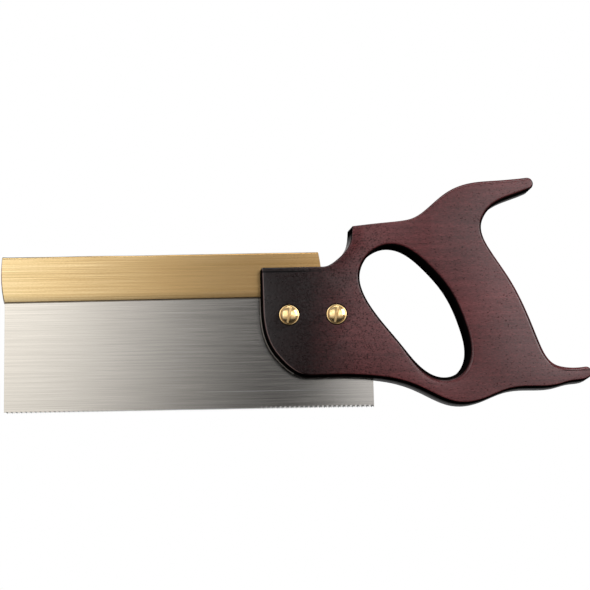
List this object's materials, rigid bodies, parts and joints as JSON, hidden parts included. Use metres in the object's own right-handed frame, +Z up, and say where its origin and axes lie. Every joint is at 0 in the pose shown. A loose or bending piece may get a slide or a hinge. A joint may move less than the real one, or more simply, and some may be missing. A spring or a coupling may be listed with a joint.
{
  "type": "back saw",
  "caption": "Small back saw: fine-toothed steel plate stiffened by a folded brass back, with a dark hardwood handle held on by slotted saw screws.",
  "frame": {"origin": "middle of the grip, in the middle plane of the blade", "axes": "+X from the toe of the blade to the handle, +Y away from the slotted screw heads, +Z up with the teeth at the bottom"},
  "size_m": [0.3164, 0.0229, 0.1219],
  "materials": {
    "handle_wood": "dark red-brown stain under satin lacquer",
    "saw_steel": "ground and polished along its length",
    "back_brass": "satin, brushed along its length",
    "screw_brass": "turned and polished"
  },
  "bodies": {
    "saw": {"handle": "handle_wood", "blade": "saw_steel", "back": "back_brass"},
    "front_screw": {"front_screw": "screw_brass"},
    "rear_screw": {"rear_screw": "screw_brass"},
    "front_nut": {"front_nut": "screw_brass"},
    "rear_nut": {"rear_nut": "screw_brass"}
  },
  "joints": [
    {"name": "front_screw_turn", "type": "hinge", "parent": "saw", "child": "front_screw", "pos_m": [-0.1062, 0, -0.0067], "axis": [0, -1, 0], "range_deg": [0, 1710]},
    {"name": "rear_screw_turn", "type": "hinge", "parent": "saw", "child": "rear_screw", "pos_m": [-0.0806, 0, -0.0067], "axis": [0, -1, 0], "range_deg": [0, 1710]},
    {"name": "front_nut_travel", "type": "slide", "parent": "saw", "child": "front_nut", "axis": [0, 1, 0], "range_m": [0, 0.00502]},
    {"name": "rear_nut_travel", "type": "slide", "parent": "saw", "child": "rear_nut", "axis": [0, 1, 0], "range_m": [0, 0.00502]}
  ],
  "couplings": [
    {"joint": "front_screw_turn", "follows": "front_nut_travel", "rad_per_m": 5938.7},
    {"joint": "rear_screw_turn", "follows": "rear_nut_travel", "rad_per_m": 5938.7}
  ]
}
